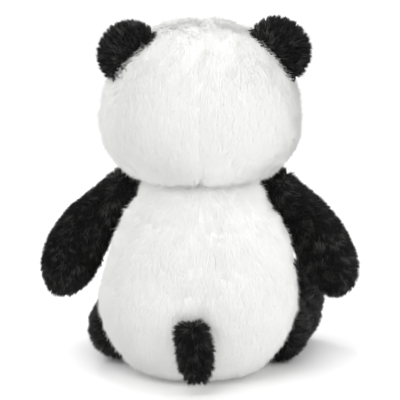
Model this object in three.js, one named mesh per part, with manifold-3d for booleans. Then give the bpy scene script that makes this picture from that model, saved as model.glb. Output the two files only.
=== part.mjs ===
// A sitting plush panda: sewn pile-fabric panels over fibre stuffing, with a pellet bag in the seat.
// Millimetres, +Z up. The origin is on the floor under the middle of the seat, the face looks along -Y,
// and the toy's own left is +X. Each limb is sewn on by a ring of thread, and its root is a ball about
// the seam's centre, so that it can swing there without touching the torso.
import * as THREE from 'three';
import { mergeVertices } from 'three/addons/utils/BufferGeometryUtils.js';
import Module from 'manifold-3d';

const wasm = await Module();
wasm.setup();

// ---- Driving dimensions ----
const GAP = 0.4; // between neighbouring pieces that only lie against each other
const FABRIC = 5; // pile fabric, from its knitted back to the middle of the pile
const FAR = 500; // reach of the half-spaces that part one panel from the next
const THREAD = 0.6; // radius of the seam thread

const NECK = { height: 186, rim: 46, pivot: 206, play: 3, threadAngle: 60 };
NECK.ball = Math.hypot(NECK.rim, NECK.pivot - NECK.height);

const TORSO = { depthShare: 0.84, sideSeamY: -14 };
TORSO.outline = [
  [45, 0], [57, 9.5], [69, 20], [81, 37], [88.5, 56], [92, 75], [89.5, 96], [82.5, 126], [72.5, 153],
  [61.5, 173], [NECK.rim, NECK.height],
];
const HEAD = { depthShare: 0.91, sideSeamY: 14, neckTop: 195 };
HEAD.outline = [
  [49, HEAD.neckTop], [54.5, 192.5], [61, 191], [68, 193.5], [76.5, 200.5], [85.5, 212], [90.5, 229],
  [91.5, 250], [87.5, 275], [74, 302], [50, 324], [23, 335], [0, 337.5],
];

const SEAT = { radius: 45, slabHeight: 7 };
const PELLET_BAG = { width: 52, depth: 42, height: 26 };

const SHOULDER = { x: 68, y: -30, z: 174, ball: 16, play: 3, threadAngle: 42 };
const ARM = { bendRadius: 150 };
ARM.outline = [[16, 0], [17.5, 14], [21.5, 33], [25, 54], [26.5, 84], [23.5, 108], [13, 126], [0, 130]];
// The right arm hangs a little steeper than the left one.
const ARM_POSE = {
  left: { lean: 121.5, broad: 1.06, deep: 0.95 },
  right: { lean: 123, broad: 1.03, deep: 0.95 },
};

const HIP = { x: 76, y: -43, z: 33.5, ball: 25, play: 5, threadAngle: 42 };
const LEG = { length: 104 };
LEG.outline = [[25, 0], [24.8, 16], [27, 36], [30, 60], [28.5, 86], [23, LEG.length]];
const FOOT = { widen: 1.07, heighten: 1.45, lift: 9, from: 36, to: 78, sole: 6 };
// The left leg points inwards and has rolled on its side, and the right one stands its toes up.
const LEG_POSE = { left: { yaw: -5, roll: -64 }, right: { yaw: 12, roll: 4 } };

const EAR = { lean: 48, thickness: 10, bulge: 0.15 };
const EAR_SIZE = { left: { ...EAR, width: 30, length: 34 }, right: { ...EAR, width: 31.5, length: 35.5 } };
// The left ear is sewn on a little further back and closer in than the right one.
const EAR_ROOT = { left: [63, 22, 305], right: [67, 15, 306.5] };
const TAIL = { x: 8, y: 85, z: 60, lean: -4, tilt: -7, width: 15, thickness: 11, length: 49, bulge: 0.35 };
const ROOT_PLAY = 4.4; // clearance round a flap's root, so that it can fold

const MUZZLE = { width: 37, depth: 26, height: 25, z: 224, inset: 6, fabric: 4 };
const PATCH = { x: 36, z: 256, width: 17, height: 22, tilt: -28, thickness: 3 };
const EYE = { x: 31, z: 258, radius: 7, dome: 4.5, shank: 2, shankLength: 17 };
const WASHER = { radius: 6, thickness: 1.6, below: 12, hole: 2.4 };
const NOSE = { width: 11, height: 8, depth: 6, rise: 11, washerBelow: 12 };
const MOUTH = { forkBelow: 3, halfWidth: 13.6, drop: 6 };

// How finely each kind of surface is cut into facets: [round the axis, along it].
const OUTSIDE = [24, 12];
const INSIDE = [12, 6];
const LIMB = [12, 6];
const LIMB_INSIDE = [8, 4];
const BALL = [14, 7];

// ---- Materials ----
const material = (color, roughness, metalness = 0) =>
  new THREE.MeshStandardMaterial({ color, roughness, metalness });
const WHITE_PLUSH = material(0xf1f2ef, 0.95);
const BLACK_PLUSH = material(0x1c1b1a, 0.95);
const STUFFING = material(0xe9e9e6, 1.0);
const CANVAS = material(0xd9d4c6, 0.9);
const WHITE_THREAD = material(0xe6e5e0, 0.7);
const BLACK_THREAD = material(0x141414, 0.6);
const BLACK_PLASTIC = material(0x0a0a0a, 0.12);
const WASHER_PLASTIC = material(0xd8dadb, 0.45);

// ---- Joining and cutting closed geometries ----
function solidOf(geometry) {
  const bare = new THREE.BufferGeometry().setAttribute('position', geometry.getAttribute('position'));
  if (geometry.index) bare.setIndex(geometry.index);
  const merged = mergeVertices(bare, 1e-3);
  return new wasm.Manifold(new wasm.Mesh({
    numProp: 3,
    vertProperties: merged.attributes.position.array,
    triVerts: new Uint32Array(merged.index.array),
  }));
}

function geometryOf(solid) {
  const { vertProperties, triVerts } = solid.getMesh();
  return new THREE.BufferGeometry()
    .setAttribute('position', new THREE.BufferAttribute(vertProperties, 3))
    .setIndex(new THREE.BufferAttribute(triVerts, 1));
}

const combine = (how) => (first, ...others) =>
  geometryOf(others.reduce((made, next) => made[how](solidOf(next)), solidOf(first)));
const cut = combine('subtract');
const join = combine('add');
const common = combine('intersect');

// Everything beyond a plane square to an axis: side +1 keeps the positive side, and -1 the negative.
function beyond(axis, at, side, gap = GAP) {
  const centre = new THREE.Vector3();
  centre[axis] = at + side * (FAR + gap / 2);
  return new THREE.BoxGeometry(2 * FAR, 2 * FAR, 2 * FAR).translate(...centre);
}

// ---- Shapes ----
const HALF_TURN = Math.PI;
const degrees = THREE.MathUtils.degToRad;
const points = (pairs) => pairs.map(([r, z]) => new THREE.Vector2(r, z));

function shaped(geometry, change) {
  const position = geometry.getAttribute('position');
  const point = new THREE.Vector3();
  for (let i = 0; i < position.count; i++) {
    change(point.fromBufferAttribute(position, i));
    position.setXYZ(i, point.x, point.y, point.z);
  }
  return geometry;
}

// A smooth stuffed shape turned about Z, closed to the axis at both ends.
function turned(outline, [segments, rings], start = []) {
  const curve = new THREE.SplineCurve(points(outline)).getPoints(rings);
  const profile = [...start, ...curve];
  const last = profile[profile.length - 1];
  last.x = outline[outline.length - 1][0];
  if (profile[0].x > 0) profile.unshift(new THREE.Vector2(0, profile[0].y));
  if (last.x > 0) profile.push(new THREE.Vector2(0, last.y));
  return new THREE.LatheGeometry(profile, segments).rotateX(HALF_TURN / 2);
}

// The lower part of a ball about (0, z), as the start of an outline that goes on upwards.
function ballStart(radius, steps, z = 0, until = 0) {
  const arc = new THREE.EllipseCurve(0, z, radius, radius, -HALF_TURN / 2, until).getPoints(steps);
  arc[0].x = 0;
  return arc.slice(0, -1);
}

const sphere = ([segments, rings]) => new THREE.SphereGeometry(1, segments, rings);
const ball = (radius, { x = 0, y = 0, z = 0 } = {}, facets = BALL) =>
  sphere(facets).scale(radius, radius, radius).translate(x, y, z);
const disc = (radius, height, segments) =>
  new THREE.CylinderGeometry(radius, radius, height, segments).rotateX(HALF_TURN / 2);

// The same shape with its surface moved out by about grow, or in if grow is negative.
function grown(geometry, grow) {
  if (!grow) return geometry;
  geometry.computeBoundingBox();
  const middle = geometry.boundingBox.getCenter(new THREE.Vector3());
  const size = geometry.boundingBox.getSize(new THREE.Vector3());
  return geometry
    .translate(-middle.x, -middle.y, -middle.z)
    .scale(1 + 2 * grow / size.x, 1 + 2 * grow / size.y, 1 + 2 * grow / size.z)
    .translate(middle.x, middle.y, middle.z);
}

const torsoShape = (grow = 0, facets = OUTSIDE) =>
  grown(turned(TORSO.outline, facets).scale(1, TORSO.depthShare, 1), grow);

// The head is one closed bag, whose neck is part of a ball about the neck's pivot.
function headShape(grow = 0, facets = OUTSIDE) {
  const neckEnd = Math.asin((HEAD.neckTop - NECK.pivot) / NECK.ball);
  const start = ballStart(NECK.ball, facets[1] / 3, NECK.pivot, neckEnd);
  return grown(turned(HEAD.outline, facets, start).scale(1, HEAD.depthShare, 1), grow);
}

// A stuffed flap standing up from the X axis, with a root that is round about that axis.
function flap({ width, thickness, length, bulge }, grow = 0, facets = [16, 8]) {
  return shaped(sphere(facets), (p) => {
    p.x *= (width + grow) * (1 + bulge * Math.max(p.z, 0));
    p.y *= thickness + grow;
    p.z *= (p.z > 0 ? length : thickness) + grow;
  });
}

// The round slot that a flap's root needs in the part it is sewn to, with blunt ends.
const flapSocket = ({ width, thickness }) => shaped(sphere([16, 8]), (p) => {
  p.x = Math.sign(p.x) * Math.abs(p.x) ** 0.7;
}).scale(width + ROOT_PLAY / 2, thickness + ROOT_PLAY, thickness + ROOT_PLAY);

// The head's half width at a height, and the point and outward direction on the front of the face.
function headHalfWidth(z) {
  const curve = new THREE.SplineCurve(points(HEAD.outline)).getPoints(OUTSIDE[1] * 12);
  const above = curve.findIndex((p) => p.y >= z);
  const [a, b] = [curve[above - 1], curve[above]];
  return a.x + (b.x - a.x) * (z - a.y) / (b.y - a.y);
}

function onFace(x, z) {
  const r = headHalfWidth(z);
  const y = -HEAD.depthShare * Math.sqrt(r ** 2 - x ** 2);
  const slope = (headHalfWidth(z + 1) - headHalfWidth(z - 1)) / 2;
  const out = new THREE.Vector3(x / r, y / (r * HEAD.depthShare ** 2), -slope).normalize();
  return { point: new THREE.Vector3(x, y, z), out };
}

// ---- Building the scene ----
const panda = new THREE.Group();
const FORWARD = new THREE.Vector3(0, 0, 1);
const sides = [['left', 1], ['right', -1]];

function add(parent, name, geometry, look) {
  const mesh = new THREE.Mesh(geometry, look);
  mesh.name = name;
  parent.add(mesh);
}

function groupAt(parent, x, y, z) {
  const group = new THREE.Group();
  group.position.set(x, y, z);
  parent.add(group);
  return group;
}

// A geometry given in a group's own frame, moved into the part's frame.
function fromFrameOf(group, geometry) {
  group.updateWorldMatrix(true, false);
  return geometry.applyMatrix4(group.matrixWorld);
}

// A ring of seam thread on a ball about the origin, at an angle from the ball's pole.
function threadRing({ ball: radius, threadAngle }) {
  const distance = radius + GAP + THREAD;
  const angle = degrees(threadAngle);
  return new THREE.TorusGeometry(distance * Math.sin(angle), THREAD, 4, 18)
    .translate(0, 0, -distance * Math.cos(angle));
}

const arms = sides.map(([side, s]) => {
  const group = groupAt(panda, s * SHOULDER.x, SHOULDER.y, SHOULDER.z);
  group.rotation.y = s * degrees(ARM_POSE[side].lean);
  return { side, s, group };
});
const legs = sides.map(([side, s]) => {
  const group = groupAt(panda, s * HIP.x, HIP.y, HIP.z);
  group.rotation.order = 'ZXY';
  group.rotation.z = s * degrees(LEG_POSE[side].yaw);
  group.rotation.x = HALF_TURN / 2;
  return { side, s, group };
});
const ears = sides.map(([side, s]) => {
  const [x, y, z] = EAR_ROOT[side];
  const group = groupAt(panda, s * x, y, z);
  group.rotation.y = s * degrees(EAR.lean);
  return { side, s, group };
});
const tail = groupAt(panda, TAIL.x, TAIL.y, TAIL.z);
tail.rotation.order = 'XYZ';
tail.rotation.set(HALF_TURN + degrees(TAIL.lean), degrees(TAIL.tilt), 0);

// ---- Torso ----
function buildTorso() {
  const sockets = (grow) => [
    ball(NECK.ball + NECK.play + grow, { z: NECK.pivot }, [24, 12]),
    ...[SHOULDER, HIP].flatMap((joint) =>
      sides.map(([, s]) => ball(joint.ball + joint.play + grow, { ...joint, x: s * joint.x }))),
    grown(fromFrameOf(tail, flapSocket(TAIL)), grow),
  ];
  const skin = cut(torsoShape(), torsoShape(-FABRIC, INSIDE), ...sockets(0));
  const aboveSeat = beyond('z', SEAT.slabHeight, 1);
  const back = common(skin, aboveSeat, beyond('y', TORSO.sideSeamY, 1));
  for (const [side, s] of sides) {
    add(panda, `torso_back_${side}`, common(back, beyond('x', 0, s)), WHITE_PLUSH);
  }
  add(panda, 'torso_belly', common(skin, aboveSeat, beyond('y', TORSO.sideSeamY, -1)), WHITE_PLUSH);

  const hem = common(skin, beyond('z', SEAT.slabHeight, -1));
  const slab = disc(SEAT.radius - 1, FABRIC, 24).scale(1, TORSO.depthShare, 1).translate(0, 0, FABRIC / 2);
  add(panda, 'seat_panel', join(hem, slab), WHITE_PLUSH);

  const bagCentre = FABRIC + GAP + PELLET_BAG.height / 2;
  const bag = (grow) => sphere(INSIDE)
    .scale(PELLET_BAG.width + grow, PELLET_BAG.depth + grow, PELLET_BAG.height / 2 + grow)
    .translate(0, 0, bagCentre);
  const underBag = disc(PELLET_BAG.width + GAP, bagCentre, INSIDE[0])
    .rotateZ(HALF_TURN / INSIDE[0])
    .scale(1, PELLET_BAG.depth / PELLET_BAG.width, 1)
    .translate(0, 0, bagCentre / 2);
  const fill = common(torsoShape(-FABRIC - GAP, INSIDE), beyond('z', FABRIC + GAP, 1));
  add(panda, 'torso_stuffing', cut(fill, bag(GAP), underBag, ...sockets(FABRIC / 2)), STUFFING);
  add(panda, 'pellet_bag', bag(0), CANVAS);
}

// ---- Face ----
// A plastic washer pushed on to a shank, a given way behind the front of what it holds.
const washerAt = (depth) => cut(
  disc(WASHER.radius, WASHER.thickness, 14),
  disc(WASHER.hole, 3 * WASHER.thickness, 10),
).translate(0, 0, -depth);

// A round tunnel along a holder's axis, from well in front of it to a given depth.
function tunnel(holder, radius, depth) {
  const front = 30;
  return fromFrameOf(holder, disc(radius, depth + front, 10).translate(0, 0, (front - depth) / 2));
}

function buildEye([side, s], muzzle) {
  const patch = onFace(s * PATCH.x, PATCH.z);
  const oval = new THREE.CylinderGeometry(1, 1, 2 * HEAD.neckTop, 18)
    .scale(PATCH.width, 1, PATCH.height)
    .rotateY(s * degrees(PATCH.tilt))
    .translate(...patch.point);
  const eye = onFace(s * EYE.x, EYE.z);
  const holder = groupAt(panda, ...eye.point.clone().addScaledVector(eye.out, PATCH.thickness + GAP));
  holder.quaternion.setFromUnitVectors(FORWARD, eye.out);
  const shankHole = tunnel(holder, WASHER.hole, EYE.shankLength + 2);
  const sheet = common(headShape(PATCH.thickness), oval, beyond('y', 0, -1));
  add(panda, `eye_patch_${side}`, cut(sheet, headShape(GAP), muzzle, shankHole), BLACK_PLUSH);

  const dome = new THREE.EllipseCurve(0, 0, EYE.radius, EYE.dome, 0, HALF_TURN / 2).getPoints(4);
  dome[dome.length - 1].x = 0;
  const shank = points([[0, -EYE.shankLength], [EYE.shank, -EYE.shankLength], [EYE.shank, 0]]);
  const eyeShape = new THREE.LatheGeometry([...shank, ...dome], 14).rotateX(HALF_TURN / 2);
  add(holder, `eye_${side}`, eyeShape, BLACK_PLASTIC);
  add(holder, `eye_washer_${side}`, washerAt(PATCH.thickness + WASHER.below), WASHER_PLASTIC);
  const washerHole = tunnel(holder, WASHER.radius + 1, PATCH.thickness + WASHER.below + 2);
  return { inPanels: [shankHole], inStuffing: [shankHole, washerHole] };
}

function buildMuzzle(dome, centreY) {
  const noseZ = MUZZLE.z + NOSE.rise;
  const noseY = centreY - MUZZLE.depth * Math.sqrt(1 - (NOSE.rise / MUZZLE.height) ** 2);
  const holder = groupAt(panda, 0, noseY, noseZ);
  holder.rotation.x = HALF_TURN / 2;
  const noseShape = (grow) => shaped(sphere([14, 7]), (p) => {
    p.x *= (NOSE.width + grow) * (1 + 0.25 * p.y);
    p.y *= NOSE.height + grow;
    p.z *= NOSE.depth + grow;
  });
  const shankHole = tunnel(holder, WASHER.hole, EYE.shankLength + 2);
  const washerHole = tunnel(holder, WASHER.radius + 1, NOSE.washerBelow + 2);
  const seat = fromFrameOf(holder, noseShape(GAP));
  const head = headShape(GAP);
  add(panda, 'muzzle_panel', cut(dome(0), dome(-MUZZLE.fabric), head, shankHole, seat), WHITE_PLUSH);
  const fill = cut(dome(-MUZZLE.fabric - GAP), head, shankHole, washerHole, seat);
  add(panda, 'muzzle_stuffing', fill, STUFFING);
  const shank = disc(EYE.shank, EYE.shankLength, 10).translate(0, 0, -EYE.shankLength / 2);
  add(holder, 'nose', join(noseShape(0), shank), BLACK_PLASTIC);
  add(holder, 'nose_washer', washerAt(NOSE.washerBelow), WASHER_PLASTIC);
  return { inPanels: [shankHole], inStuffing: [shankHole] };
}

// The mouth is stitched on the muzzle: one thread down from the nose, and a curve to each side.
function buildMouth(centreY) {
  const lift = THREAD + 0.9;
  const onMuzzle = (x, z) => {
    const share = 1 - (x / MUZZLE.width) ** 2 - ((z - MUZZLE.z) / MUZZLE.height) ** 2;
    return new THREE.Vector3(x, centreY - MUZZLE.depth * Math.sqrt(share) - lift, z);
  };
  const section = new THREE.Shape().absarc(0, 0, THREAD + 0.2, 0, 2 * HALF_TURN);
  const stitched = (path, steps) => new THREE.ExtrudeGeometry(section, {
    extrudePath: new THREE.CatmullRomCurve3(path), steps, bevelEnabled: false, curveSegments: 3,
  });
  const fork = MUZZLE.z - MOUTH.forkBelow;
  const smile = Array.from({ length: 9 }, (_, i) => {
    const across = (i - 4) / 4;
    const drop = MOUTH.drop * Math.sin(0.75 * HALF_TURN * Math.abs(across));
    return onMuzzle(MOUTH.halfWidth * across, fork - drop);
  });
  const top = MUZZLE.z + NOSE.rise - NOSE.height - 1.5;
  const drop = [top, (top + fork) / 2, fork - 0.5].map((z) => onMuzzle(0, z));
  add(panda, 'mouth_thread', join(stitched(drop, 3), stitched(smile, 10)), BLACK_THREAD);
}

// ---- Head ----
function buildHead() {
  const muzzleY = -HEAD.depthShare * headHalfWidth(MUZZLE.z) + MUZZLE.inset;
  const muzzle = (grow) => sphere([18, 9])
    .scale(MUZZLE.width + grow, MUZZLE.depth + grow, MUZZLE.height + grow)
    .translate(0, muzzleY, MUZZLE.z);
  const holes = [...sides.map((side) => buildEye(side, muzzle(GAP))), buildMuzzle(muzzle, muzzleY)];
  buildMouth(muzzleY);

  const earSockets = (grow) => ears.map(({ side, group }) =>
    grown(fromFrameOf(group, flapSocket(EAR_SIZE[side])), grow));
  const skin = cut(
    headShape(), headShape(-FABRIC, INSIDE), ...earSockets(0), ...holes.flatMap((hole) => hole.inPanels));
  for (const [side, s] of sides) {
    const half = common(skin, beyond('x', 0, s));
    add(panda, `head_back_${side}`, common(half, beyond('y', HEAD.sideSeamY, 1)), WHITE_PLUSH);
    add(panda, `face_${side}`, common(half, beyond('y', HEAD.sideSeamY, -1)), WHITE_PLUSH);
  }
  const fill = headShape(-FABRIC - GAP, INSIDE);
  const inFill = [...earSockets(FABRIC / 2), ...holes.flatMap((hole) => hole.inStuffing)];
  add(panda, 'head_stuffing', cut(fill, ...inFill), STUFFING);
  add(groupAt(panda, 0, 0, NECK.pivot), 'neck_thread', threadRing(NECK), WHITE_THREAD);
}

// ---- Ears and tail ----
function buildFlap(group, name, size, seamAxis, [oneSide, otherSide]) {
  const inner = (grow) => flap(size, grow, [12, 6]);
  const shell = cut(flap(size), inner(-FABRIC / 2));
  add(group, `${name}_${oneSide}`, common(shell, beyond(seamAxis, 0, 1)), BLACK_PLUSH);
  add(group, `${name}_${otherSide}`, common(shell, beyond(seamAxis, 0, -1)), BLACK_PLUSH);
  add(group, `${name}_stuffing`, inner(-FABRIC / 2 - GAP), STUFFING);
}

// ---- Arms ----
// A club that grows from a round root, bends down as it goes out, and ends in a rounded paw.
function armShape({ side, s }, grow, facets) {
  const { broad, deep } = ARM_POSE[side];
  const tip = ARM.outline.length - 1;
  const outline = ARM.outline.map(([r, z], i) => (i < tip ? [r + grow, z] : [r, z + grow]));
  const straight = turned(outline, facets, ballStart(SHOULDER.ball + grow, facets[1] / 2));
  return shaped(straight, (p) => {
    const paw = THREE.MathUtils.smoothstep(p.z, 0, 45);
    const across = p.x * (1 + (broad - 1) * paw);
    p.y *= 1 + (deep - 1) * paw;
    if (p.z <= 0) return;
    const turn = p.z / ARM.bendRadius;
    p.x = s * ARM.bendRadius * (1 - Math.cos(turn)) + across * Math.cos(turn);
    p.z = ARM.bendRadius * Math.sin(turn) - s * across * Math.sin(turn);
  });
}

function buildArm(arm) {
  const { side, group } = arm;
  const shell = cut(armShape(arm, 0, LIMB), armShape(arm, -FABRIC, LIMB_INSIDE));
  add(group, `${side}_arm_back`, common(shell, beyond('y', 0, 1)), BLACK_PLUSH);
  add(group, `${side}_arm_front`, common(shell, beyond('y', 0, -1)), BLACK_PLUSH);
  add(group, `${side}_arm_stuffing`, armShape(arm, -FABRIC - GAP, LIMB_INSIDE), STUFFING);
  add(group, `${side}_shoulder_thread`, threadRing(SHOULDER), BLACK_THREAD);
}

// ---- Legs ----
// Turns a round leg into one whose end stands up as a foot, rolled about the leg's own axis.
function footed({ side, s }, geometry) {
  const roll = -s * degrees(LEG_POSE[side].roll);
  return shaped(geometry, (p) => {
    const foot = THREE.MathUtils.smoothstep(p.z, FOOT.from, FOOT.to);
    p.x *= 1 + (FOOT.widen - 1) * foot;
    p.y = p.y * (1 + (FOOT.heighten - 1) * foot) + FOOT.lift * foot;
    p.applyAxisAngle(FORWARD, roll);
  });
}

function legShape(leg, grow, facets, extra = 0) {
  const end = LEG.outline.length - 1;
  const outline = LEG.outline.map(([r, z], i) => [r + grow, i < end ? z : z + extra]);
  return footed(leg, turned(outline, facets, ballStart(HIP.ball + grow, facets[1] / 2)));
}

function buildLeg(leg) {
  const { side, group } = leg;
  const shell = cut(legShape(leg, 0, LIMB), legShape(leg, -FABRIC, LIMB_INSIDE, FABRIC));
  add(group, `${side}_leg_top`, common(shell, beyond('y', 0, 1)), BLACK_PLUSH);
  add(group, `${side}_leg_bottom`, common(shell, beyond('y', 0, -1)), BLACK_PLUSH);
  add(group, `${side}_leg_stuffing`, legShape(leg, -FABRIC - GAP, LIMB_INSIDE), STUFFING);
  const [edge] = LEG.outline[LEG.outline.length - 1];
  const start = LEG.length + GAP;
  const dish = points([
    [0, start], [edge, start], [edge, start + 2], [edge * 0.6, start + FOOT.sole - 1], [0, start + FOOT.sole],
  ]);
  const sole = new THREE.LatheGeometry(dish, LIMB[0]).rotateX(HALF_TURN / 2);
  add(group, `${side}_sole`, footed(leg, sole), BLACK_PLUSH);
  add(group, `${side}_hip_thread`, threadRing(HIP), BLACK_THREAD);
}

buildTorso();
buildHead();
for (const { side, group } of ears) buildFlap(group, `${side}_ear`, EAR_SIZE[side], 'y', ['back', 'front']);
buildFlap(tail, 'tail', TAIL, 'x', ['left', 'right']);
arms.forEach(buildArm);
legs.forEach(buildLeg);

export default panda;
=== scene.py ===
"""A sitting plush panda: white long-pile head and body, and black ears, arms, legs and tail.

Each stuffed bag is a closed form that is swelled by a cloth simulation with its seams held, and then each sewn
panel grows its pile from it, strand by strand. Forms are worked out in millimetres in the frame of the CAD part.
"""

import itertools
import math
from types import SimpleNamespace

import bpy
import numpy as np
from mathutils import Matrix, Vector
from mathutils.bvhtree import BVHTree


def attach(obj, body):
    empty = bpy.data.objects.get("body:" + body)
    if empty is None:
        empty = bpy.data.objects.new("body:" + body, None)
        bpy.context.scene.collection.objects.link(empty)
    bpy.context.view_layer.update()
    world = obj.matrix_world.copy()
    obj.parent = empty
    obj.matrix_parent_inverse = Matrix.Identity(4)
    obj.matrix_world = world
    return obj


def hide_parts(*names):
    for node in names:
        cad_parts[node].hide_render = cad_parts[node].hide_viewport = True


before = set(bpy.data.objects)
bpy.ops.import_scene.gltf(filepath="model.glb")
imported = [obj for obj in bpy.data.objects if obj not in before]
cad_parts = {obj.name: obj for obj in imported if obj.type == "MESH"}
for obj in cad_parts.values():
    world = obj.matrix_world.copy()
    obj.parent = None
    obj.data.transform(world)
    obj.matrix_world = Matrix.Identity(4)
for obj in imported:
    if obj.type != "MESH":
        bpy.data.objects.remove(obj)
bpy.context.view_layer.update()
scene = bpy.context.scene
MM = 0.001
SIDES = (("left", 1), ("right", -1))

# ---- Dimensions, in millimetres and degrees ----
NECK_PIVOT, NECK_BALL = 206.0, 50.16
TORSO_DEPTH, NECK_DEPTH = 0.84, 1.0  # depth of the body as a share of its width, below and at the neck
NECK_DEEPER_FROM, NECK_DEEPER_TO = 150.0, 186.0
TORSO_SIDE_SEAM, SEAT_SEAM = -14.0, 7.0
TORSO_SLUMP, SLUMP_FROM, SLUMP_TO = 3.0, 60.0, 140.0  # how far the seat has settled to one side
TORSO_OUTLINE = [
    (45, 0), (57, 9.5), (69, 20), (81, 37), (88.5, 56), (92, 75), (89.5, 96), (82.5, 126), (71, 153),
    (57, 173), (50, 186), (45, 192),
]
HEAD_DEPTH, HEAD_SIDE_SEAM, HEAD_NECK_TOP = 0.91, 14.0, 197.0
SIDE_SEAM_FLAT_FROM, SIDE_SEAM_FLAT_TO = 290.0, 312.0  # higher up, the side seam is sewn flat across the crown
HEAD_OUTLINE = [
    (49.3, 197), (54, 196), (60, 196), (67.5, 199), (76, 205), (85, 214.5), (90.3, 230),
    (91.5, 250), (87.5, 275), (74, 302), (50, 324), (23, 335), (0, 337.5),
]
SHOULDER, SHOULDER_BALL, ARM_BEND = np.array([68.0, -30.0, 174.0]), 16.0, 150.0
ARM_OUTLINE = [(16, 0), (17.5, 14), (21.5, 33), (25, 54), (26.5, 84), (23.5, 106), (13, 124), (0, 128)]
ARM_SET = np.array([0.0, 8.0, 1.5])  # where the full bag sits against the back, from the seam's centre
ARM_LEAN, ARM_BROAD, ARM_DEEP = {"left": 122.7, "right": 124.3}, {"left": 1.06, "right": 1.03}, 0.95
ARM_BROAD_TO = 45.0
ROOT_FULLER, ROOT_FULLER_TO = 7.0, 48.0  # the pile bag is fuller than the CAD part where it is sewn on
HIP, HIP_BALL, LEG_LENGTH = np.array([76.0, -43.0, 33.5]), 25.0, 104.0
LEG_OUTLINE = [(25, 0), (24.8, 16), (27, 36), (30, 60), (28.5, 86), (23, 104), (13.8, 109), (0, 110)]
LEG_POSE = {"left": (-5.0, -64.0), "right": (12.0, 4.0)}
LEG_SET = {"left": np.array([3.0, 0.0, 2.0]), "right": np.zeros(3)}
FOOT_WIDEN, FOOT_HEIGHTEN, FOOT_LIFT, FOOT_FROM, FOOT_TO = 1.07, 1.45, 9.0, 36.0, 78.0
EAR_ROOT = {"left": np.array([63.0, 22.0, 305.0]), "right": np.array([-67.0, 15.0, 306.5])}
EAR_SET = {"left": np.array([-1.5, 3.0, -0.5]), "right": np.array([1.0, 1.5, -0.5])}  # as the ears are pulled over
EAR_LEAN, EAR_BULGE = 48.0, 0.15
EAR_SIZE = {"left": (30.0, 10.0, 34.0), "right": (31.5, 10.0, 35.5)}
TAIL_ROOT, TAIL_LEAN, TAIL_TILT = np.array([8.0, 85.0, 60.0]), -4.0, -7.0
TAIL_SIZE, TAIL_BULGE = (14.0, 11.0, 49.0), 0.45
MUZZLE_SIZE, MUZZLE_Z, MUZZLE_INSET, MUZZLE_BACK = (37.0, 26.0, 25.0), 224.0, 6.0, 8.0
PATCH_AT, PATCH_SIZE, PATCH_TILT = (36.0, 256.0), (17.0, 22.0), -28.0
PATCH_RISE, PATCH_PADDING = 0.5, 2.4
EYE_AT, EYE_RADIUS, EYE_DOME, EYE_OUT, EYE_BALD = (31.0, 258.0), 7.5, 5.0, 3.8, 7.4
NOSE_SIZE, NOSE_RISE, NOSE_TAPER, NOSE_BALD = (11.0, 8.0, 6.0), 11.0, 0.25, 7.0
MOUTH_FORK, MOUTH_HALF_WIDTH, MOUTH_DROP, MOUTH_RISE = 3.0, 13.6, 6.0, 1.2
STITCH, STITCH_OVERLAP, STITCH_ARCH, STITCH_SINK, FLOSS_APART, FLOSS_RADIUS = 3.4, 0.12, 0.5, 0.2, 0.42, 0.5

# ---- Filling ----
PRESSURE, SWELLING_FRAMES, SEAM_HELD = 4.0, 20, 3.5

# ---- How the pile varies from place to place: cells of the noise in millimetres, angles in degrees ----
SWIRL_CELLS, PATCH_CELL, MOTTLE_CELL = (24.0, 7.0), 9.0, 4.0
LIFT_PATCHES, LIFT_SPREAD = 10.0, 6.0
FLYAWAY_SHARE, FLYAWAY_LIFT = 0.07, 20.0
LENGTH_PATCHES, LENGTH_SPREAD, LENGTH_LIMITS = 0.18, 0.12, (0.25, 1.5)
WIDTH_SPREAD, WIDTH_LIMITS = 0.15, (0.6, 1.5)
MOTTLE_SPREAD, SHADE_STEPS = 0.35, (0.05, 0.55)
PARTED_FROM, PARTED_TO = 0.5, 5.0  # from a seam
FOOT_DEPTH = 0.4
BACKING_OUTER, BACKING_INNER = 0.2, 0.6

# ---- Camera, in metres ----
CAMERA_DISTANCE, CAMERA_HEIGHT, CAMERA_ASIDE, CAMERA_ELEVATION = 1.5, 0.168, 0.0008, math.radians(9.5)


# ---- Numbers ----
def unit(v):
    return v / np.maximum(np.linalg.norm(v, axis=-1, keepdims=True), 1e-9)


def smoothstep(x, low, high):
    t = np.clip((x - low) / (high - low), 0, 1)
    return t * t * (3 - 2 * t)


def hashed(cells, seed):
    """Three random numbers between -1 and 1 for each cell of a grid."""
    h = (cells @ np.array([73856093, 19349663, 83492791]) + seed * 7919) & 0xFFFFFFFF
    values = []
    for _ in range(3):
        h = ((h ^ (h >> 15)) * 0x2C1B3C6D) & 0xFFFFFFFF
        h = ((h ^ (h >> 12)) * 0x297A2D39) & 0xFFFFFFFF
        h = (h ^ (h >> 15)) + 0x9E3779B9
        values.append((h & 0xFFFFFFFF) / 0x7FFFFFFF - 1)
    return np.stack(values, axis=-1)


def noise(p, cell, seed):
    """Smooth noise in three channels, each between -1 and 1, which varies over about one cell."""
    q = p / cell
    base = np.floor(q).astype(np.int64)
    f = q - base
    f = f * f * (3 - 2 * f)
    total = np.zeros((len(p), 3))
    for corner in itertools.product((0, 1), repeat=3):
        weight = np.prod(np.where(np.array(corner) == 1, f, 1 - f), axis=1)
        total += weight[:, None] * hashed(base + np.array(corner), seed)
    return total


def tuft_centres(p, cell, seed):
    """The nearest of the scattered points, one to a cell, that the strands about p lean towards."""
    base = np.floor(p / cell).astype(np.int64)
    nearest, centre = np.full(len(p), np.inf), np.zeros((len(p), 3))
    for offset in itertools.product((-1, 0, 1), repeat=3):
        cells = base + np.array(offset)
        point = (cells + 0.5 + 0.45 * hashed(cells, seed)) * cell
        distance = ((p - point) ** 2).sum(axis=1)
        closer = distance < nearest
        nearest[closer], centre[closer] = distance[closer], point[closer]
    return centre


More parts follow.
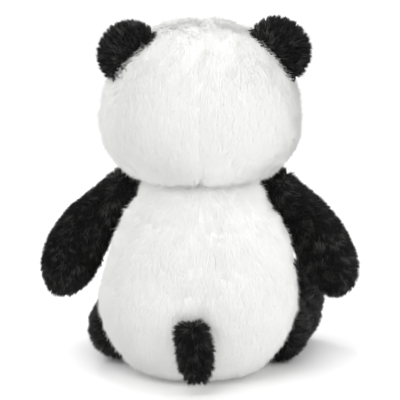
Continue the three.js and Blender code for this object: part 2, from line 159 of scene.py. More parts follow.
def turn_x(degrees):
    c, s = math.cos(math.radians(degrees)), math.sin(math.radians(degrees))
    return np.array([[1, 0, 0], [0, c, -s], [0, s, c]])


def turn_y(degrees):
    c, s = math.cos(math.radians(degrees)), math.sin(math.radians(degrees))
    return np.array([[c, 0, s], [0, 1, 0], [-s, 0, c]])


def turn_z(degrees):
    c, s = math.cos(math.radians(degrees)), math.sin(math.radians(degrees))
    return np.array([[c, -s, 0], [s, c, 0], [0, 0, 1]])


# ---- Closed forms ----
def spline(points, steps):
    """A smooth curve through the points, with some steps between each two."""
    p = np.array(points, float)
    ends = np.vstack([p[:1], p, p[-1:]])
    t = np.linspace(0, 1, steps, endpoint=False)[:, None]
    runs = []
    for a, b, c, d in zip(ends[:-3], ends[1:-2], ends[2:-1], ends[3:]):
        v0, v1 = (c - a) / 2, (d - b) / 2
        runs.append((2 * b - 2 * c + v0 + v1) * t**3 + (-3 * b + 3 * c - 2 * v0 - v1) * t**2 + v0 * t + b)
    return np.vstack([*runs, p[-1:]])


def ball_start(radius, steps, z=0.0, end=0.0):
    """The profile of a ball from its lowest point up to an angle, to start a bag with."""
    angle = np.linspace(-math.pi / 2, end, steps, endpoint=False)
    return np.stack([radius * np.cos(angle), z + radius * np.sin(angle)], axis=1)


def turned(profile, sides=48):
    """A profile of (radius, height) turned about Z into closed points and faces."""
    profile = [tuple(q) for q in profile if q[0] > 1e-3]
    angle = np.arange(sides) * 2 * math.pi / sides
    ring = np.stack([np.cos(angle), np.sin(angle)], axis=1)
    points = [np.column_stack([r * ring, np.full(sides, z)]) for r, z in profile]
    points = np.vstack([*points, [(0, 0, profile[0][1])], [(0, 0, profile[-1][1])]])
    faces, count = [], len(profile)
    for i in range(count - 1):
        for j in range(sides):
            k = (j + 1) % sides
            faces.append((i * sides + j, i * sides + k, (i + 1) * sides + k, (i + 1) * sides + j))
    low, high = count * sides, count * sides + 1
    for j in range(sides):
        k = (j + 1) % sides
        faces.append((low, k, j))
        faces.append((high, (count - 1) * sides + j, (count - 1) * sides + k))
    return points, faces


def sphere(sides=48, rings=24):
    angle = np.linspace(-math.pi / 2, math.pi / 2, rings + 1)[1:-1]
    profile = np.stack([np.cos(angle), np.sin(angle)], axis=1)
    points, faces = turned(profile, sides)
    points[-2:, 2] = -1, 1
    return points, faces


def torso_form():
    points, faces = turned(spline(TORSO_OUTLINE, 6))
    at_neck = smoothstep(points[:, 2], NECK_DEEPER_FROM, NECK_DEEPER_TO)
    points[:, 1] *= TORSO_DEPTH + (NECK_DEPTH - TORSO_DEPTH) * at_neck
    points[:, 0] += TORSO_SLUMP * (1 - smoothstep(points[:, 2], SLUMP_FROM, SLUMP_TO))
    return points, faces


def head_form():
    end = math.asin((HEAD_NECK_TOP - NECK_PIVOT) / NECK_BALL)
    start = ball_start(NECK_BALL, 8, NECK_PIVOT, end)
    points, faces = turned(np.vstack([start, spline(HEAD_OUTLINE, 5)]))
    points[:, 1] *= HEAD_DEPTH
    return points, faces


def fuller(profile, share):
    """A limb's profile with its root swollen a little, to cover the seam round it."""
    grow = share * ROOT_FULLER * (1 - smoothstep(profile[:, 1], 0, ROOT_FULLER_TO))
    return profile * (1 + grow / np.maximum(np.hypot(*profile.T), 12))[:, None]


def arm_form(side, s):
    profile = np.vstack([ball_start(SHOULDER_BALL, 8), spline(ARM_OUTLINE, 6)])
    points, faces = turned(fuller(profile, 1.0), 32)
    paw = smoothstep(points[:, 2], 0, ARM_BROAD_TO)
    across = points[:, 0] * (1 + (ARM_BROAD[side] - 1) * paw)
    points[:, 1] *= 1 + (ARM_DEEP - 1) * paw
    turn = np.maximum(points[:, 2], 0) / ARM_BEND
    bent = points[:, 2] > 0
    x = s * ARM_BEND * (1 - np.cos(turn)) + across * np.cos(turn)
    z = ARM_BEND * np.sin(turn) - s * across * np.sin(turn)
    points[:, 0] = np.where(bent, x, across)
    points[:, 2] = np.where(bent, z, points[:, 2])
    return points, faces


def leg_form(side, s):
    profile = np.vstack([ball_start(HIP_BALL, 8), spline(LEG_OUTLINE, 6)])
    points, faces = turned(fuller(profile, 0.9), 36)
    foot = smoothstep(points[:, 2], FOOT_FROM, FOOT_TO)
    points[:, 0] *= 1 + (FOOT_WIDEN - 1) * foot
    points[:, 1] = points[:, 1] * (1 + (FOOT_HEIGHTEN - 1) * foot) + FOOT_LIFT * foot
    return points @ turn_z(-s * LEG_POSE[side][1]).T, faces


def flap_form(size, bulge):
    """A flat bag that widens from its root to its tip: an ear or the tail."""
    points, faces = sphere(32, 24)
    width, thickness, length = size
    points[:, 0] *= width * (1 + bulge * np.maximum(points[:, 2], 0))
    points[:, 1] *= thickness
    points[:, 2] *= np.where(points[:, 2] > 0, length, thickness)
    return points, faces


def head_half_width(z):
    curve = spline(HEAD_OUTLINE, 12)
    curve = curve[curve[:, 1].argmin():]
    return float(np.interp(z, curve[:, 1], curve[:, 0]))


def on_face(x, z):
    """The point on the front of the head at x and z, and the direction straight out of it."""
    r = head_half_width(z)
    y = -HEAD_DEPTH * math.sqrt(r**2 - x**2)
    slope = (head_half_width(z + 1) - head_half_width(z - 1)) / 2
    return np.array([x, y, z]), unit(np.array([x / r, y / (r * HEAD_DEPTH**2), -slope]))


# ---- Meshes ----
def new_object(name, points, faces):
    mesh = bpy.data.meshes.new(name)
    mesh.from_pydata([tuple(p) for p in points], [], faces)
    made = bpy.data.objects.new(name, mesh)
    scene.collection.objects.link(made)
    return made


def apply_modifiers(made):
    graph = bpy.context.evaluated_depsgraph_get()
    mesh = bpy.data.meshes.new_from_object(made.evaluated_get(graph))
    made.modifiers.clear()
    made.data = mesh


def points_of(mesh):
    points = np.empty(len(mesh.vertices) * 3)
    mesh.vertices.foreach_get("co", points)
    return points.reshape(-1, 3) / MM


def normals_of(mesh):
    normals = np.empty(len(mesh.vertices) * 3, np.float32)
    mesh.vertex_normals.foreach_get("vector", normals)
    return normals.reshape(-1, 3).astype(float)


def set_points(mesh, points):
    mesh.vertices.foreach_set("co", (points * MM).ravel())
    mesh.update()


def inset(made, depth):
    set_points(made.data, points_of(made.data) - depth * normals_of(made.data))


def belongs(made, body, nodes):
    """Ties a visible piece to its body, and hides the CAD nodes that it stands for."""
    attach(made, body)
    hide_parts(*nodes)


def hard_piece(name, points, faces, look, nodes):
    """A smooth piece of plastic or thread on the head."""
    made = new_object(name, points * MM, faces)
    made.data.shade_smooth()
    made.data.materials.append(look)
    belongs(made, "head", nodes)


# ---- Stuffed bags ----
class Bag:
    """A closed sewn bag: its body, the frame it is drawn in, and how far each of its points is from a seam."""

    def __init__(self, name, body, shape, seam, turn=np.eye(3), at=(0, 0, 0), voxel=5.0, swell=4.0, sink=1.0):
        self.body, self.seam, self.turn, self.at, self.swell = body, seam, turn, np.array(at), swell
        points, faces = shape
        self.object = new_object(f"{name}_bag", (points @ turn.T + self.at) * MM, faces)
        remesh = self.object.modifiers.new("Remesh", "REMESH")
        remesh.mode, remesh.voxel_size = "VOXEL", voxel * MM
        smooth = self.object.modifiers.new("Smooth", "SMOOTH")
        smooth.factor, smooth.iterations = 0.5, 3
        apply_modifiers(self.object)
        inset(self.object, sink + swell * 0.5)

    def local(self, p):
        return (p - self.at) @ self.turn


def stuff(bag, start):
    """Sets a bag up to be blown up by its filling, with its seams held."""
    held = np.nonzero(bag.seam(bag.local(start)) < SEAM_HELD)[0]
    group = bag.object.vertex_groups.new(name="seam")
    group.add([int(i) for i in held], 1.0, "REPLACE")
    cloth = bag.object.modifiers.new("Cloth", "CLOTH")
    cloth.settings.quality = 4
    cloth.settings.mass = 0.01
    cloth.settings.tension_stiffness = cloth.settings.compression_stiffness = 5
    cloth.settings.bending_stiffness = 0.1
    cloth.settings.shrink_min = -0.04
    cloth.settings.use_pressure = True
    cloth.settings.uniform_pressure_force = PRESSURE
    cloth.settings.vertex_group_mass = "seam"
    cloth.settings.effector_weights.gravity = 0
    cloth.collision_settings.use_collision = False
    cloth.point_cache.frame_start, cloth.point_cache.frame_end = 1, SWELLING_FRAMES


def swell_bags(bags):
    """Blows every bag up a little by cloth simulation, and keeps each point near its start."""
    starts = [points_of(bag.object.data) for bag in bags]
    for bag, start in zip(bags, starts):
        stuff(bag, start)
    for f in range(1, SWELLING_FRAMES + 1):
        scene.frame_set(f)
    for bag, start in zip(bags, starts):
        apply_modifiers(bag.object)
        moved = points_of(bag.object.data) - start
        length = np.linalg.norm(moved, axis=1, keepdims=True)
        capped = bag.swell * np.tanh(length / bag.swell)
        set_points(bag.object.data, start + moved / np.maximum(length, 1e-6) * capped)
        bag.object.vertex_groups.clear()
    scene.frame_set(1)


def subdivide(bag):
    smooth = bag.object.modifiers.new("Subdivision", "SUBSURF")
    smooth.levels = smooth.render_levels = 1
    apply_modifiers(bag.object)


# ---- Materials ----
def node(tree, kind, **settings):
    made = tree.nodes.new(kind)
    for key, value in settings.items():
        if key in made.inputs:
            made.inputs[key].default_value = value
        else:
            setattr(made, key, value)
    return made


def material(name, colour, roughness, **inputs):
    made = bpy.data.materials.new(name)
    made.use_nodes = True
    surface = made.node_tree.nodes["Principled BSDF"]
    surface.inputs["Base Color"].default_value = (*colour, 1)
    surface.inputs["Roughness"].default_value = roughness
    for key, value in inputs.items():
        surface.inputs[key.replace("_", " ")].default_value = value
    made.diffuse_color = (*colour, 1)
    return made


def textured(made, low, high, colouring, relief, strength, depth):
    """Lets one texture choose between two colours, and another raise the surface, in the object's own space."""
    tree = made.node_tree
    surface = tree.nodes["Principled BSDF"]
    place = node(tree, "ShaderNodeTexCoord")
    for texture in (colouring, relief):
        tree.links.new(place.outputs["Object"], texture.node.inputs["Vector"])
    mix = node(tree, "ShaderNodeMix", data_type="RGBA")
    mix.inputs["A"].default_value, mix.inputs["B"].default_value = (*low, 1), (*high, 1)
    bump = node(tree, "ShaderNodeBump", Strength=strength, Distance=depth)
    tree.links.new(colouring, mix.inputs["Factor"])
    tree.links.new(mix.outputs["Result"], surface.inputs["Base Color"])
    tree.links.new(relief, bump.inputs["Height"])
    tree.links.new(bump.outputs["Normal"], surface.inputs["Normal"])
    return made


def knit(name, low, high, sheen=0.3):
    """A knitted or woven cloth: rows of fine loops, a little uneven."""
    made = material(name, high, 0.9, Sheen_Weight=sheen, Specular_IOR_Level=0.2)
    loops = node(made.node_tree, "ShaderNodeTexVoronoi", Scale=900.0)
    uneven = node(made.node_tree, "ShaderNodeTexNoise", Scale=120.0, Detail=4.0)
    return textured(made, low, high, uneven.outputs["Fac"], loops.outputs["Distance"], 0.5, 0.0006)


def floss(name, low, high):
    """Twisted thread: slanting plies, a little shiny, with painted shade that darkens the grooves between the
    plies.
    """
    made = material(name, high, 0.55, Sheen_Weight=0.2)
    plies_and_groove_shade = node(made.node_tree, "ShaderNodeTexWave", Scale=700.0, Distortion=1.5, Detail=2.0,
                 bands_direction="DIAGONAL")
    # The bands that raise the plies also pick the colour: painted shade, darker in the grooves between the plies.
    return textured(made, low, high, plies_and_groove_shade.outputs["Fac"], plies_and_groove_shade.outputs["Fac"], 0.6, 0.0004)


def moulded(name, low, high, roughness, grain, scale, **inputs):
    """Moulded plastic: slightly uneven colour and polish, and a fine grain."""
    made = material(name, high, roughness[0], **inputs)
    tree = made.node_tree
    uneven = node(tree, "ShaderNodeTexNoise", Scale=180.0, Detail=5.0)
    fine = node(tree, "ShaderNodeTexNoise", Scale=scale, Detail=3.0)
    polish = node(tree, "ShaderNodeMapRange")
    polish.inputs["To Min"].default_value, polish.inputs["To Max"].default_value = roughness
    tree.links.new(uneven.outputs["Fac"], polish.inputs["Value"])
    tree.links.new(polish.outputs["Result"], tree.nodes["Principled BSDF"].inputs["Roughness"])
    return textured(made, low, high, uneven.outputs["Fac"], fine.outputs["Fac"], grain, 0.0003)


def pile_shades(name, colours, roughness, **inputs):
    return [material(f"{name}_{i}", colour, roughness, **inputs) for i, colour in enumerate(colours)]


# White fibres pass light on to each other; a faint glow stands for it.
WHITE_PILE = pile_shades(
    "white_pile", [(0.95, 0.953, 0.935), (0.965, 0.965, 0.95), (0.93, 0.935, 0.915)], 0.85,
    Emission_Color=(1.0, 1.0, 0.985, 1.0), Emission_Strength=0.115)
# The lightest black shade, a lighter grey, is painted highlight: it stands in for glints on the black tufts.
BLACK_PILE = pile_shades(
    "black_pile", [(0.0015, 0.0014, 0.0013), (0.004, 0.0038, 0.0036), (0.07, 0.069, 0.067)], 0.38,
    Specular_IOR_Level=0.25)
WHITE_KNIT = knit("white_knit", (0.86, 0.865, 0.85), (0.93, 0.935, 0.92))
BLACK_KNIT = knit("black_knit", (0.002, 0.002, 0.002), (0.006, 0.006, 0.006), sheen=0.0)
BLACK_FLOSS = floss("black_floss", (0.006, 0.006, 0.006), (0.03, 0.03, 0.03))
WHITE_FLOSS = floss("white_floss", (0.6, 0.6, 0.58), (0.85, 0.85, 0.82))
CANVAS = knit("canvas", (0.55, 0.50, 0.40), (0.72, 0.68, 0.58))
GLOSS = moulded(
    "gloss_plastic", (0.002, 0.002, 0.002), (0.006, 0.005, 0.004), roughness=(0.03, 0.08), grain=0.02,
    scale=900.0, Specular_IOR_Level=0.2)
NOSE_PLASTIC = moulded(
    "nose_plastic", (0.003, 0.003, 0.003), (0.007, 0.0065, 0.0065), roughness=(0.22, 0.36), grain=0.35,
    scale=1400.0, Specular_IOR_Level=0.2)
WASHER_PLASTIC = moulded(
    "washer_plastic", (0.62, 0.63, 0.64), (0.72, 0.73, 0.74), roughness=(0.35, 0.5), grain=0.1, scale=600.0)


# ---- Pile ----
# A kind of pile has a density (strands on a square millimetre), a length, and a width (the radius of a strand's
# foot). Its strands stand up by the lift, stray and swirl from the way they are combed, and are pulled together
# into tufts. They are shorter beside a seam by the part, and shaded partly like the cloth under them (soften).
WHITE_CLOTH = {"shades": WHITE_PILE, "backing": WHITE_KNIT, "slot": "white_pile_fabric"}
BLACK_CLOTH = {"shades": BLACK_PILE, "backing": BLACK_KNIT, "slot": "black_pile_fabric"}
WHITE = SimpleNamespace(
    **WHITE_CLOTH, density=1.7, length=10.0, width=0.32, lift=26, tuft=7.0, pull=0.34, stray=0.14, soften=0.45,
    swirl=0.18, part=0.25)
WHITE_SHORT = SimpleNamespace(
    **WHITE_CLOTH, density=2.0, length=4.5, width=0.3, lift=38, tuft=4.5, pull=0.25, stray=0.15, soften=0.45,
    swirl=0.2, part=0.1)
BLACK = SimpleNamespace(
    **BLACK_CLOTH, density=1.8, length=7.0, width=0.34, lift=54, tuft=4.6, pull=0.75, stray=0.30, soften=0.0,
    swirl=0.9, part=0.25)
BLACK_SPIKY = SimpleNamespace(
    **BLACK_CLOTH, density=2.4, length=8.0, width=0.34, lift=60, tuft=4.6, pull=0.85, stray=0.35, soften=0.0,
    swirl=0.6, part=0.45)
BLACK_SHORT = SimpleNamespace(
    **BLACK_CLOTH, density=2.2, length=3.2, width=0.32, lift=60, tuft=2.6, pull=0.4, stray=0.30, soften=0.1,
    swirl=0.5, part=0.1)
SPIKE_FACES = [(0, 1, 3), (1, 2, 3), (2, 0, 3), (2, 1, 0)]


def scatter(points, normals, triangles, density, generator):
    """Places spread evenly over some triangles, with the way out of the surface at each."""
    a, b, c = (points[triangles[:, k]] for k in range(3))
    area = np.linalg.norm(np.cross(b - a, c - a), axis=1) / 2
    count = int(area.sum() * density)
    chosen = generator.choice(len(triangles), count, p=area / area.sum())
    u, v = generator.random((2, count))
    over = u + v > 1
    u[over], v[over] = 1 - u[over], 1 - v[over]
    weights = np.stack([1 - u - v, u, v], axis=1)[:, :, None]
    corners = triangles[chosen]
    return (points[corners] * weights).sum(axis=1), unit((normals[corners] * weights).sum(axis=1))


def along_surface(v, out):
    return unit(v - (v * out).sum(axis=1, keepdims=True) * out)


def strands(root, out, pile, comb, seam, shorten, stand, generator, seed):
    """The foot and the tip of the strand that grows at each root."""
    count = len(root)
    swirl = pile.swirl * (noise(root, SWIRL_CELLS[0], seed) + noise(root, SWIRL_CELLS[1], seed + 1))
    stray = generator.normal(0, pile.stray, (count, 3))
    way = along_surface(along_surface(comb, out) + swirl + stray, out)
    patches = noise(root, PATCH_CELL, seed + 2)
    lift = pile.lift + LIFT_PATCHES * patches[:, 0] + generator.normal(0, LIFT_SPREAD, count)
    lift = lift + FLYAWAY_LIFT * (generator.random(count) < FLYAWAY_SHARE) + stand
    lift = np.radians(lift)[:, None]
    parted = 1 - pile.part * (1 - smoothstep(seam, PARTED_FROM, PARTED_TO))
    uneven = 1 + LENGTH_PATCHES * patches[:, 1] + generator.normal(0, LENGTH_SPREAD, count)
    least, most = LENGTH_LIMITS
    length = np.clip(pile.length * uneven * parted * shorten, least * pile.length, most * pile.length)[:, None]
    lean = way * np.cos(lift) + out * np.sin(lift)
    gather = tuft_centres(root + 0.3 * pile.length * way, pile.tuft, seed + 3) - root
    gather = gather - (gather * out).sum(axis=1, keepdims=True) * out
    tip = root + unit(lean * length + pile.pull * gather) * length
    return root - FOOT_DEPTH * out, tip


def strand_mesh(foot, tip, out, width, soften):
    """Closed three-sided spikes from foot to tip: their points, and the normals they shade with."""
    along = unit(tip - foot)
    u = unit(np.cross(along, out + 1e-3))
    v = np.cross(along, u)
    points, normals = [], []
    for angle in (0, 2 * math.pi / 3, 4 * math.pi / 3):
        aside = math.cos(angle) * u + math.sin(angle) * v
        points.append(foot + aside * width[:, None])
        normals.append(unit(aside * (1 - soften) + out * soften))
    points.append(tip)
    normals.append(unit(along * (1 - soften) + out * soften))
    return np.stack(points, axis=1), np.stack(normals, axis=1)


def backing_sheet(points, normals, faces):
    """A thin closed sheet over some faces of a form."""
    used = np.unique(np.concatenate([np.array(f) for f in faces]))
    place = {int(v): i for i, v in enumerate(used)}
    count = len(used)
    sheet = np.vstack([
        points[used] + BACKING_OUTER * normals[used], points[used] - BACKING_INNER * normals[used]])
    directions = np.vstack([normals[used], -normals[used]])
    made, edges = [], {}
    for f in faces:
        corners = [place[int(v)] for v in f]
        made.append(corners)
        made.append([c + count for c in reversed(corners)])
        for a, b in zip(corners, corners[1:] + corners[:1]):
            if (b, a) in edges:
                del edges[(b, a)]
            else:
                edges[(a, b)] = True
    made += [[b, a, a + count, b + count] for a, b in edges]
    return sheet, directions, made


def everywhere(value):
    return lambda p: np.full(len(p), value)


def panel(name, bag, inside, pile, comb, nodes, seed, bald=everywhere(False), shorten=everywhere(1.0),
          stand=everywhere(0.0), density=1.0):
    """One sewn panel of a bag: its knitted backing, and the pile that grows on it."""
    mesh = bag.object.data
    points, normals = points_of(mesh), normals_of(mesh)
    faces = [tuple(p.vertices) for p in mesh.polygons]
    centres = np.array([points[list(f)].mean(axis=0) for f in faces])
    kept = [f for f, keep in zip(faces, inside(bag.local(centres))) if keep]

    triangles = np.array([(f[0], f[k], f[k + 1]) for f in kept for k in range(1, len(f) - 1)])
    generator = np.random.default_rng(seed)
    root, out = scatter(points, normals, triangles, pile.density * density, generator)
    hairy = ~bald(root)
    root, out = root[hairy], out[hairy]
    local = bag.local(root)
    foot, tip = strands(
        root, out, pile, comb(root, local), bag.seam(local), shorten(root), stand(root), generator, seed)
    width = pile.width * (1 + generator.normal(0, WIDTH_SPREAD, len(root))).clip(*WIDTH_LIMITS)
    spikes = strand_mesh(foot, tip, out, width, pile.soften)
    # Each strand's shade is picked in clusters by noise: a random tone on white pile, and on black pile the
    # lightest shade is painted highlight.
    mottle_and_highlight = noise(root, MOTTLE_CELL, seed + 4)[:, 0] + generator.normal(0, MOTTLE_SPREAD, len(root))
    shade = np.searchsorted(SHADE_STEPS, mottle_and_highlight)
    made = pile_object(f"{name}_pile", backing_sheet(points, normals, kept), spikes, shade, pile)
    belongs(made, bag.body, nodes)


def pile_object(name, backing, spikes, shade, pile):
    sheet, directions, sheet_faces = backing
    spike_points, spike_normals = spikes
    start, count = len(sheet), len(spike_points)
    points = np.vstack([sheet, spike_points.reshape(-1, 3)]) * MM
    normals = np.vstack([directions, spike_normals.reshape(-1, 3)])
    triangles = (start + 4 * np.arange(count)[:, None, None] + np.array(SPIKE_FACES)[None]).reshape(-1, 3)
    corners = np.concatenate([np.concatenate(sheet_faces), triangles.ravel()])
    sizes = np.concatenate([[len(f) for f in sheet_faces], np.full(len(triangles), 3)])
    starts = np.concatenate([[0], np.cumsum(sizes)[:-1]])
    shades = np.concatenate([np.zeros(len(sheet_faces), int), np.repeat(shade + 1, 4)])
    mesh = bpy.data.meshes.new(name)
    mesh.vertices.add(len(points))
    mesh.vertices.foreach_set("co", points.ravel())
    mesh.loops.add(len(corners))
    mesh.loops.foreach_set("vertex_index", corners.astype(np.int32))
    mesh.polygons.add(len(sizes))
    mesh.polygons.foreach_set("loop_start", starts.astype(np.int32))
    mesh.polygons.foreach_set("material_index", shades.astype(np.int32))
    mesh.update(calc_edges=True)
    mesh.polygons.foreach_set("use_smooth", np.ones(len(sizes), bool))
    mesh.normals_split_custom_set_from_vertices(normals)
    for each in (pile.backing, *pile.shades):
        mesh.materials.append(each)
    made = bpy.data.objects.new(name, mesh)
    scene.collection.objects.link(made)
    return made


# ---- The bags ----
def torso_seams(p):
    centre = np.where(p[:, 1] > TORSO_SIDE_SEAM, np.abs(p[:, 0]), 99)
    return np.minimum.reduce([centre, np.abs(p[:, 1] - TORSO_SIDE_SEAM), np.abs(p[:, 2] - SEAT_SEAM)])


def head_seams(p):
    flat = 50 * smoothstep(p[:, 2], SIDE_SEAM_FLAT_FROM, SIDE_SEAM_FLAT_TO)
    return np.minimum(np.abs(p[:, 0]), np.abs(p[:, 1] - HEAD_SIDE_SEAM) + flat)


def front_to_back_seam(p):
    return np.abs(p[:, 1])


torso = Bag("torso", "torso", torso_form(), torso_seams)
head = Bag("head", "head", head_form(), head_seams)
arms = {
    side: Bag(
        f"{side}_arm", f"{side}_arm", arm_form(side, s), front_to_back_seam, turn_y(s * ARM_LEAN[side]),
        (SHOULDER + ARM_SET) * (s, 1, 1), voxel=4.5, swell=3.0, sink=2.0)
    for side, s in SIDES
}
legs = {
    side: Bag(
        f"{side}_leg", f"{side}_leg", leg_form(side, s), front_to_back_seam,
        turn_z(s * LEG_POSE[side][0]) @ turn_x(90), HIP * (s, 1, 1) + LEG_SET[side],
        voxel=5.0, swell=3.0, sink=1.6)
    for side, s in SIDES
}
ears = {
    side: Bag(
        f"{side}_ear", f"{side}_ear", flap_form(EAR_SIZE[side], EAR_BULGE), front_to_back_seam,
        turn_y(s * EAR_LEAN), EAR_ROOT[side] + EAR_SET[side], voxel=3.5, swell=2.0, sink=0.6)
    for side, s in SIDES
}
tail = Bag(
    "tail", "tail", flap_form(TAIL_SIZE, TAIL_BULGE), lambda p: np.abs(p[:, 0]),
    turn_x(180 + TAIL_LEAN) @ turn_y(TAIL_TILT), TAIL_ROOT, voxel=3.0, swell=2.0, sink=0.8)
muzzle_y = -HEAD_DEPTH * head_half_width(MUZZLE_Z) + MUZZLE_INSET
muzzle_points, muzzle_faces = sphere(40, 20)
muzzle = Bag(
    "muzzle", "head", (muzzle_points * MUZZLE_SIZE, muzzle_faces), everywhere(99.0), np.eye(3),
    (0, muzzle_y, MUZZLE_Z), voxel=4.0, swell=2.0, sink=1.6)

bags = [torso, head, *arms.values(), *legs.values(), *ears.values(), tail, muzzle]
swell_bags(bags)
for each in bags:
    subdivide(each)


# ---- How the coat is combed ----
def down(p, local):
    return np.tile([0.0, 0.12, -1.0], (len(p), 1))


def from_muzzle_to_neck(p, local):
    """The nap of the head: away from the muzzle, over the crown, and down to the neck."""
    return unit(p - np.array([0, -80.0, 224.0])) - unit(p - np.array([0, 0, 190.0]))


def along_arm(bag, s):
    """Combed along the bent arm to the paw, and at its root back over the shoulder."""
    def comb(p, local):
        turn = np.arctan2(np.maximum(local[:, 2], 0), ARM_BEND)
        way = np.stack([s * np.sin(turn), np.zeros(len(p)), np.cos(turn)], axis=1)
        to_paw = np.where(local[:, 2] < 4, -1.0, 1.0)[:, None]
        return (way @ bag.turn.T + np.array([0, 0, -0.35])) * to_paw
    return comb


def outwards(bag, fan=0.0, parting=-99.0):
    """Combed to the tip, and spread sideways; below the parting, combed back over what the bag is sewn to."""
    def comb(p, local):
        way = np.tile([0.0, 0.0, 1.0], (len(p), 1)) + fan * local * np.array([0.03, 0, 0])
        way[:, 2] = np.where(local[:, 2] < parting, -1.0, 1.0)
        return way @ bag.turn.T
    return comb


def outwards_from_nose(p, local):
    return unit(p - np.array([0, muzzle_y - 30, MUZZLE_Z + 8])) + np.array([0, 0, -0.35])


def stand_at_neck(p):
    """Extra lift, in degrees, of the body's pile that fills the crease under the head."""
    return 25 * smoothstep(p[:, 2], 168, 184)


def stand_on_head(p):
    """Extra lift, in degrees: the pile hangs down under the head, and lies flatter on the crown."""
    return 35 * (1 - smoothstep(p[:, 2], 196, 212)) - 14 * smoothstep(p[:, 2], 290, 320)


# ---- Where no pile grows: on cloth that is out of sight inside a seam or under a hard piece ----
def under_limbs(p):
    hidden = np.linalg.norm(p - np.array([0, 0, NECK_PIVOT]), axis=1) < NECK_BALL * 0.9
    for _, s in SIDES:
        for centre, radius in ((SHOULDER, SHOULDER_BALL + 3), (HIP, HIP_BALL - 4)):
            hidden |= np.linalg.norm(p - centre * (s, 1, 1), axis=1) < radius
    return hidden


def under_head(p):
    hidden = (p[:, 2] < 196) & (np.hypot(p[:, 0], p[:, 1] / HEAD_DEPTH) < 45)
    scaled = (p - np.array([0, muzzle_y, MUZZLE_Z])) / (np.array(MUZZLE_SIZE) - 4)
    return hidden | ((scaled**2).sum(axis=1) < 1)


def inside_root(bag, depth):
    return lambda p: bag.local(p)[:, 2] < -depth


# ---- The coat ----
def torso_panels():
    for side, s in SIDES:
        panel(
            f"torso_back_{side}", torso,
            lambda p, s=s: (p[:, 0] * s >= 0) & (p[:, 1] > TORSO_SIDE_SEAM) & (p[:, 2] > SEAT_SEAM),
            WHITE, down, [f"torso_back_{side}"], seed=11 + s, bald=under_limbs, stand=stand_at_neck, density=0.96)
    panel(
        "torso_belly", torso, lambda p: (p[:, 1] <= TORSO_SIDE_SEAM) & (p[:, 2] > SEAT_SEAM),
        WHITE, down, ["torso_belly", "torso_stuffing"], seed=14, bald=under_limbs, stand=stand_at_neck,
        density=0.78)
    panel("seat_panel", torso, lambda p: p[:, 2] <= SEAT_SEAM, WHITE_SHORT, down, ["seat_panel"], seed=15,
          density=0.6)


def head_panels(side, s):
    panel(
        f"head_back_{side}", head, lambda p: (p[:, 0] * s >= 0) & (p[:, 1] > HEAD_SIDE_SEAM),
        WHITE, from_muzzle_to_neck, [f"head_back_{side}", "head_stuffing"], seed=21 + s, bald=under_head,
        stand=stand_on_head)
    panel(
        f"face_{side}", head, lambda p: (p[:, 0] * s >= 0) & (p[:, 1] <= HEAD_SIDE_SEAM),
        WHITE, from_muzzle_to_neck, [f"face_{side}"], seed=26 + s, bald=under_head,
        shorten=lambda p: 0.45 + 0.55 * smoothstep(p[:, 1], -70, -10), stand=stand_on_head, density=0.95)


def ear_panels(side, s):
    for part, across in (("back", 1), ("front", -1)):
        panel(
            f"{side}_ear_{part}", ears[side], lambda p, a=across: p[:, 1] * a >= 0, BLACK_SPIKY,
            outwards(ears[side], fan=1.0, parting=3.0), [f"{side}_ear_{part}", f"{side}_ear_stuffing"],
            seed=31 + across + 4 * s)


def arm_panels(side, s):
    for part, across in (("back", 1), ("front", -1)):
        panel(
            f"{side}_arm_{part}", arms[side], lambda p, a=across: p[:, 1] * a >= 0, BLACK,
            along_arm(arms[side], s), [f"{side}_arm_{part}", f"{side}_arm_stuffing"],
            seed=41 + across + 4 * s, bald=inside_root(arms[side], 15))


def leg_panels(side, s):
    for part, across in (("top", 1), ("bottom", -1)):
        panel(
            f"{side}_leg_{part}", legs[side],
            lambda p, a=across: (p[:, 1] * a >= 0) & (p[:, 2] < LEG_LENGTH), BLACK,
            outwards(legs[side]), [f"{side}_leg_{part}", f"{side}_leg_stuffing"],
            seed=51 + across + 4 * s, bald=inside_root(legs[side], 24), density=0.85)
    panel(f"{side}_sole", legs[side], lambda p: p[:, 2] >= LEG_LENGTH, BLACK_SHORT, down, [f"{side}_sole"],
          seed=61 + s)


torso_panels()
for side, s in SIDES:
    head_panels(side, s)
    ear_panels(side, s)
    arm_panels(side, s)
    leg_panels(side, s)
    panel(
        f"tail_{side}", tail, lambda p, s=s: p[:, 0] * s >= 0, BLACK_SPIKY, outwards(tail, fan=1.5),
        [f"tail_{side}", "tail_stuffing"], seed=66 + s)


# ---- The face ----
def patch_form(s, tree):
    """The padded oval sewn round an eye, laid on the head's bag."""
    sides, rings, turn = 40, 9, math.radians(s * PATCH_TILT)
    points, out = [], []
    for ring in range(rings + 1):
        share = ring / rings
        for k in range(sides if ring else 1):
            angle = 2 * math.pi * k / sides
            a, b = share * PATCH_SIZE[0] * math.cos(angle), share * PATCH_SIZE[1] * math.sin(angle)
            x = s * PATCH_AT[0] + a * math.cos(turn) + b * math.sin(turn)
            z = PATCH_AT[1] - a * math.sin(turn) + b * math.cos(turn)
            hit, normal, _, _ = tree.ray_cast(Vector((x, -200, z)), Vector((0, 1, 0)))
            rise = PATCH_RISE + PATCH_PADDING * math.sqrt(1 - share**4)
            points.append(np.array(hit) + np.array(normal) * rise)
            out.append(np.array(normal))

    def place(ring, k):
        return 1 + (ring - 1) * sides + k % sides

    faces = [(0, place(1, k), place(1, k + 1)) for k in range(sides)]
    faces += [
        (place(ring, k), place(ring + 1, k), place(ring + 1, k + 1), place(ring, k + 1))
        for ring in range(1, rings) for k in range(sides)
    ]
    points = np.array(points)
    if np.cross(points[faces[0][1]] - points[0], points[faces[0][2]] - points[0]) @ out[0] < 0:
        faces = [f[::-1] for f in faces]
    return points, faces


